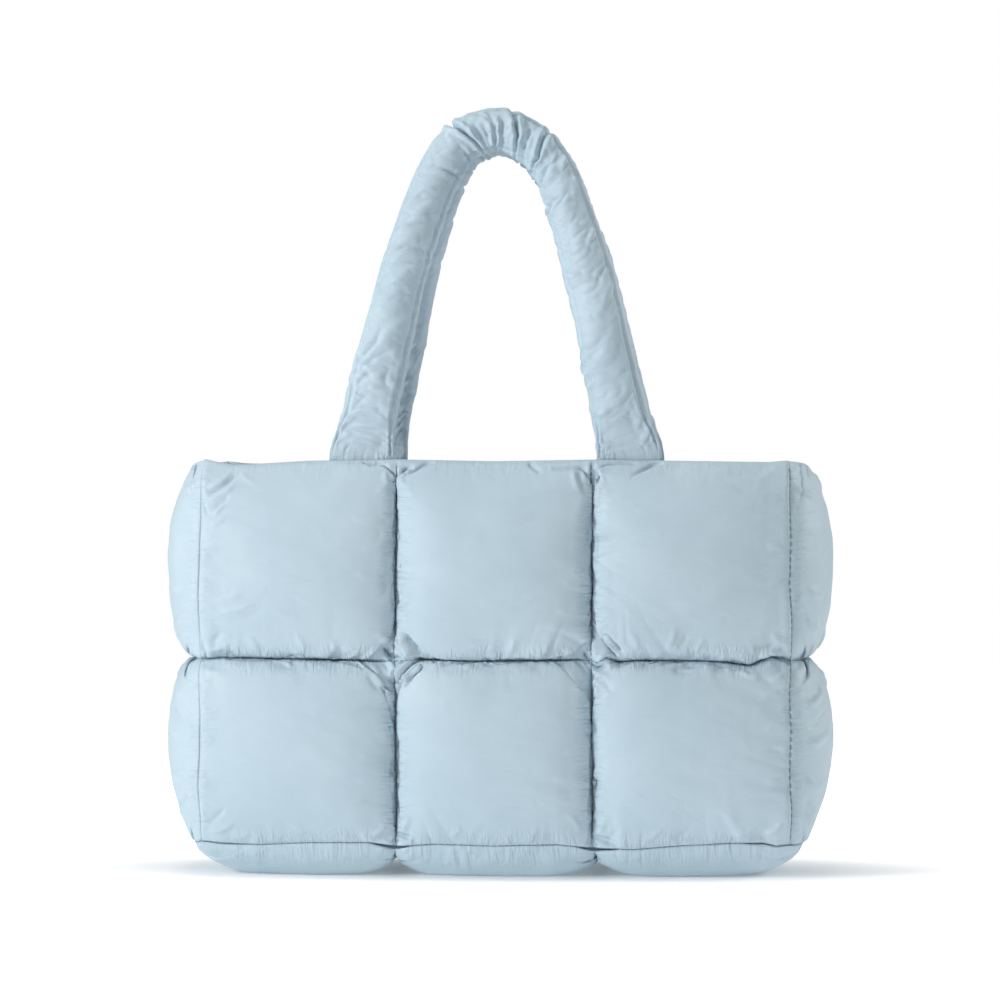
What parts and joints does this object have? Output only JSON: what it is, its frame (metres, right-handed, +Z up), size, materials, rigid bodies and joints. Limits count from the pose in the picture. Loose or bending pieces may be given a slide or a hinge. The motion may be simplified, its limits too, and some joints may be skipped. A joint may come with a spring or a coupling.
{
  "type": "quilted puffer tote bag",
  "caption": "Padded tote bag with square quilted puffs on every wall, an open top and padded tube handles sewn inside the rim.",
  "frame": {"origin": "middle of the bag's footprint on the floor it stands on", "axes": "+Z up, towards the handles; the front faces -Y; +X is to the right seen from the front, along the bag's width"},
  "size_m": [0.433, 0.1698, 0.4962],
  "materials": {
    "quilted_nylon": "soft fine-woven nylon with a low sheen, quilted over fibre filling",
    "handle_nylon": "soft fine-woven nylon with a low sheen, gathered over a round filling"
  },
  "bodies": {
    "root": {"front_panel": "quilted_nylon", "back_panel": "quilted_nylon", "left_gusset": "quilted_nylon", "right_gusset": "quilted_nylon", "base_panel": "quilted_nylon", "front_handle": "handle_nylon", "back_handle": "handle_nylon"}
  },
  "joints": []
}
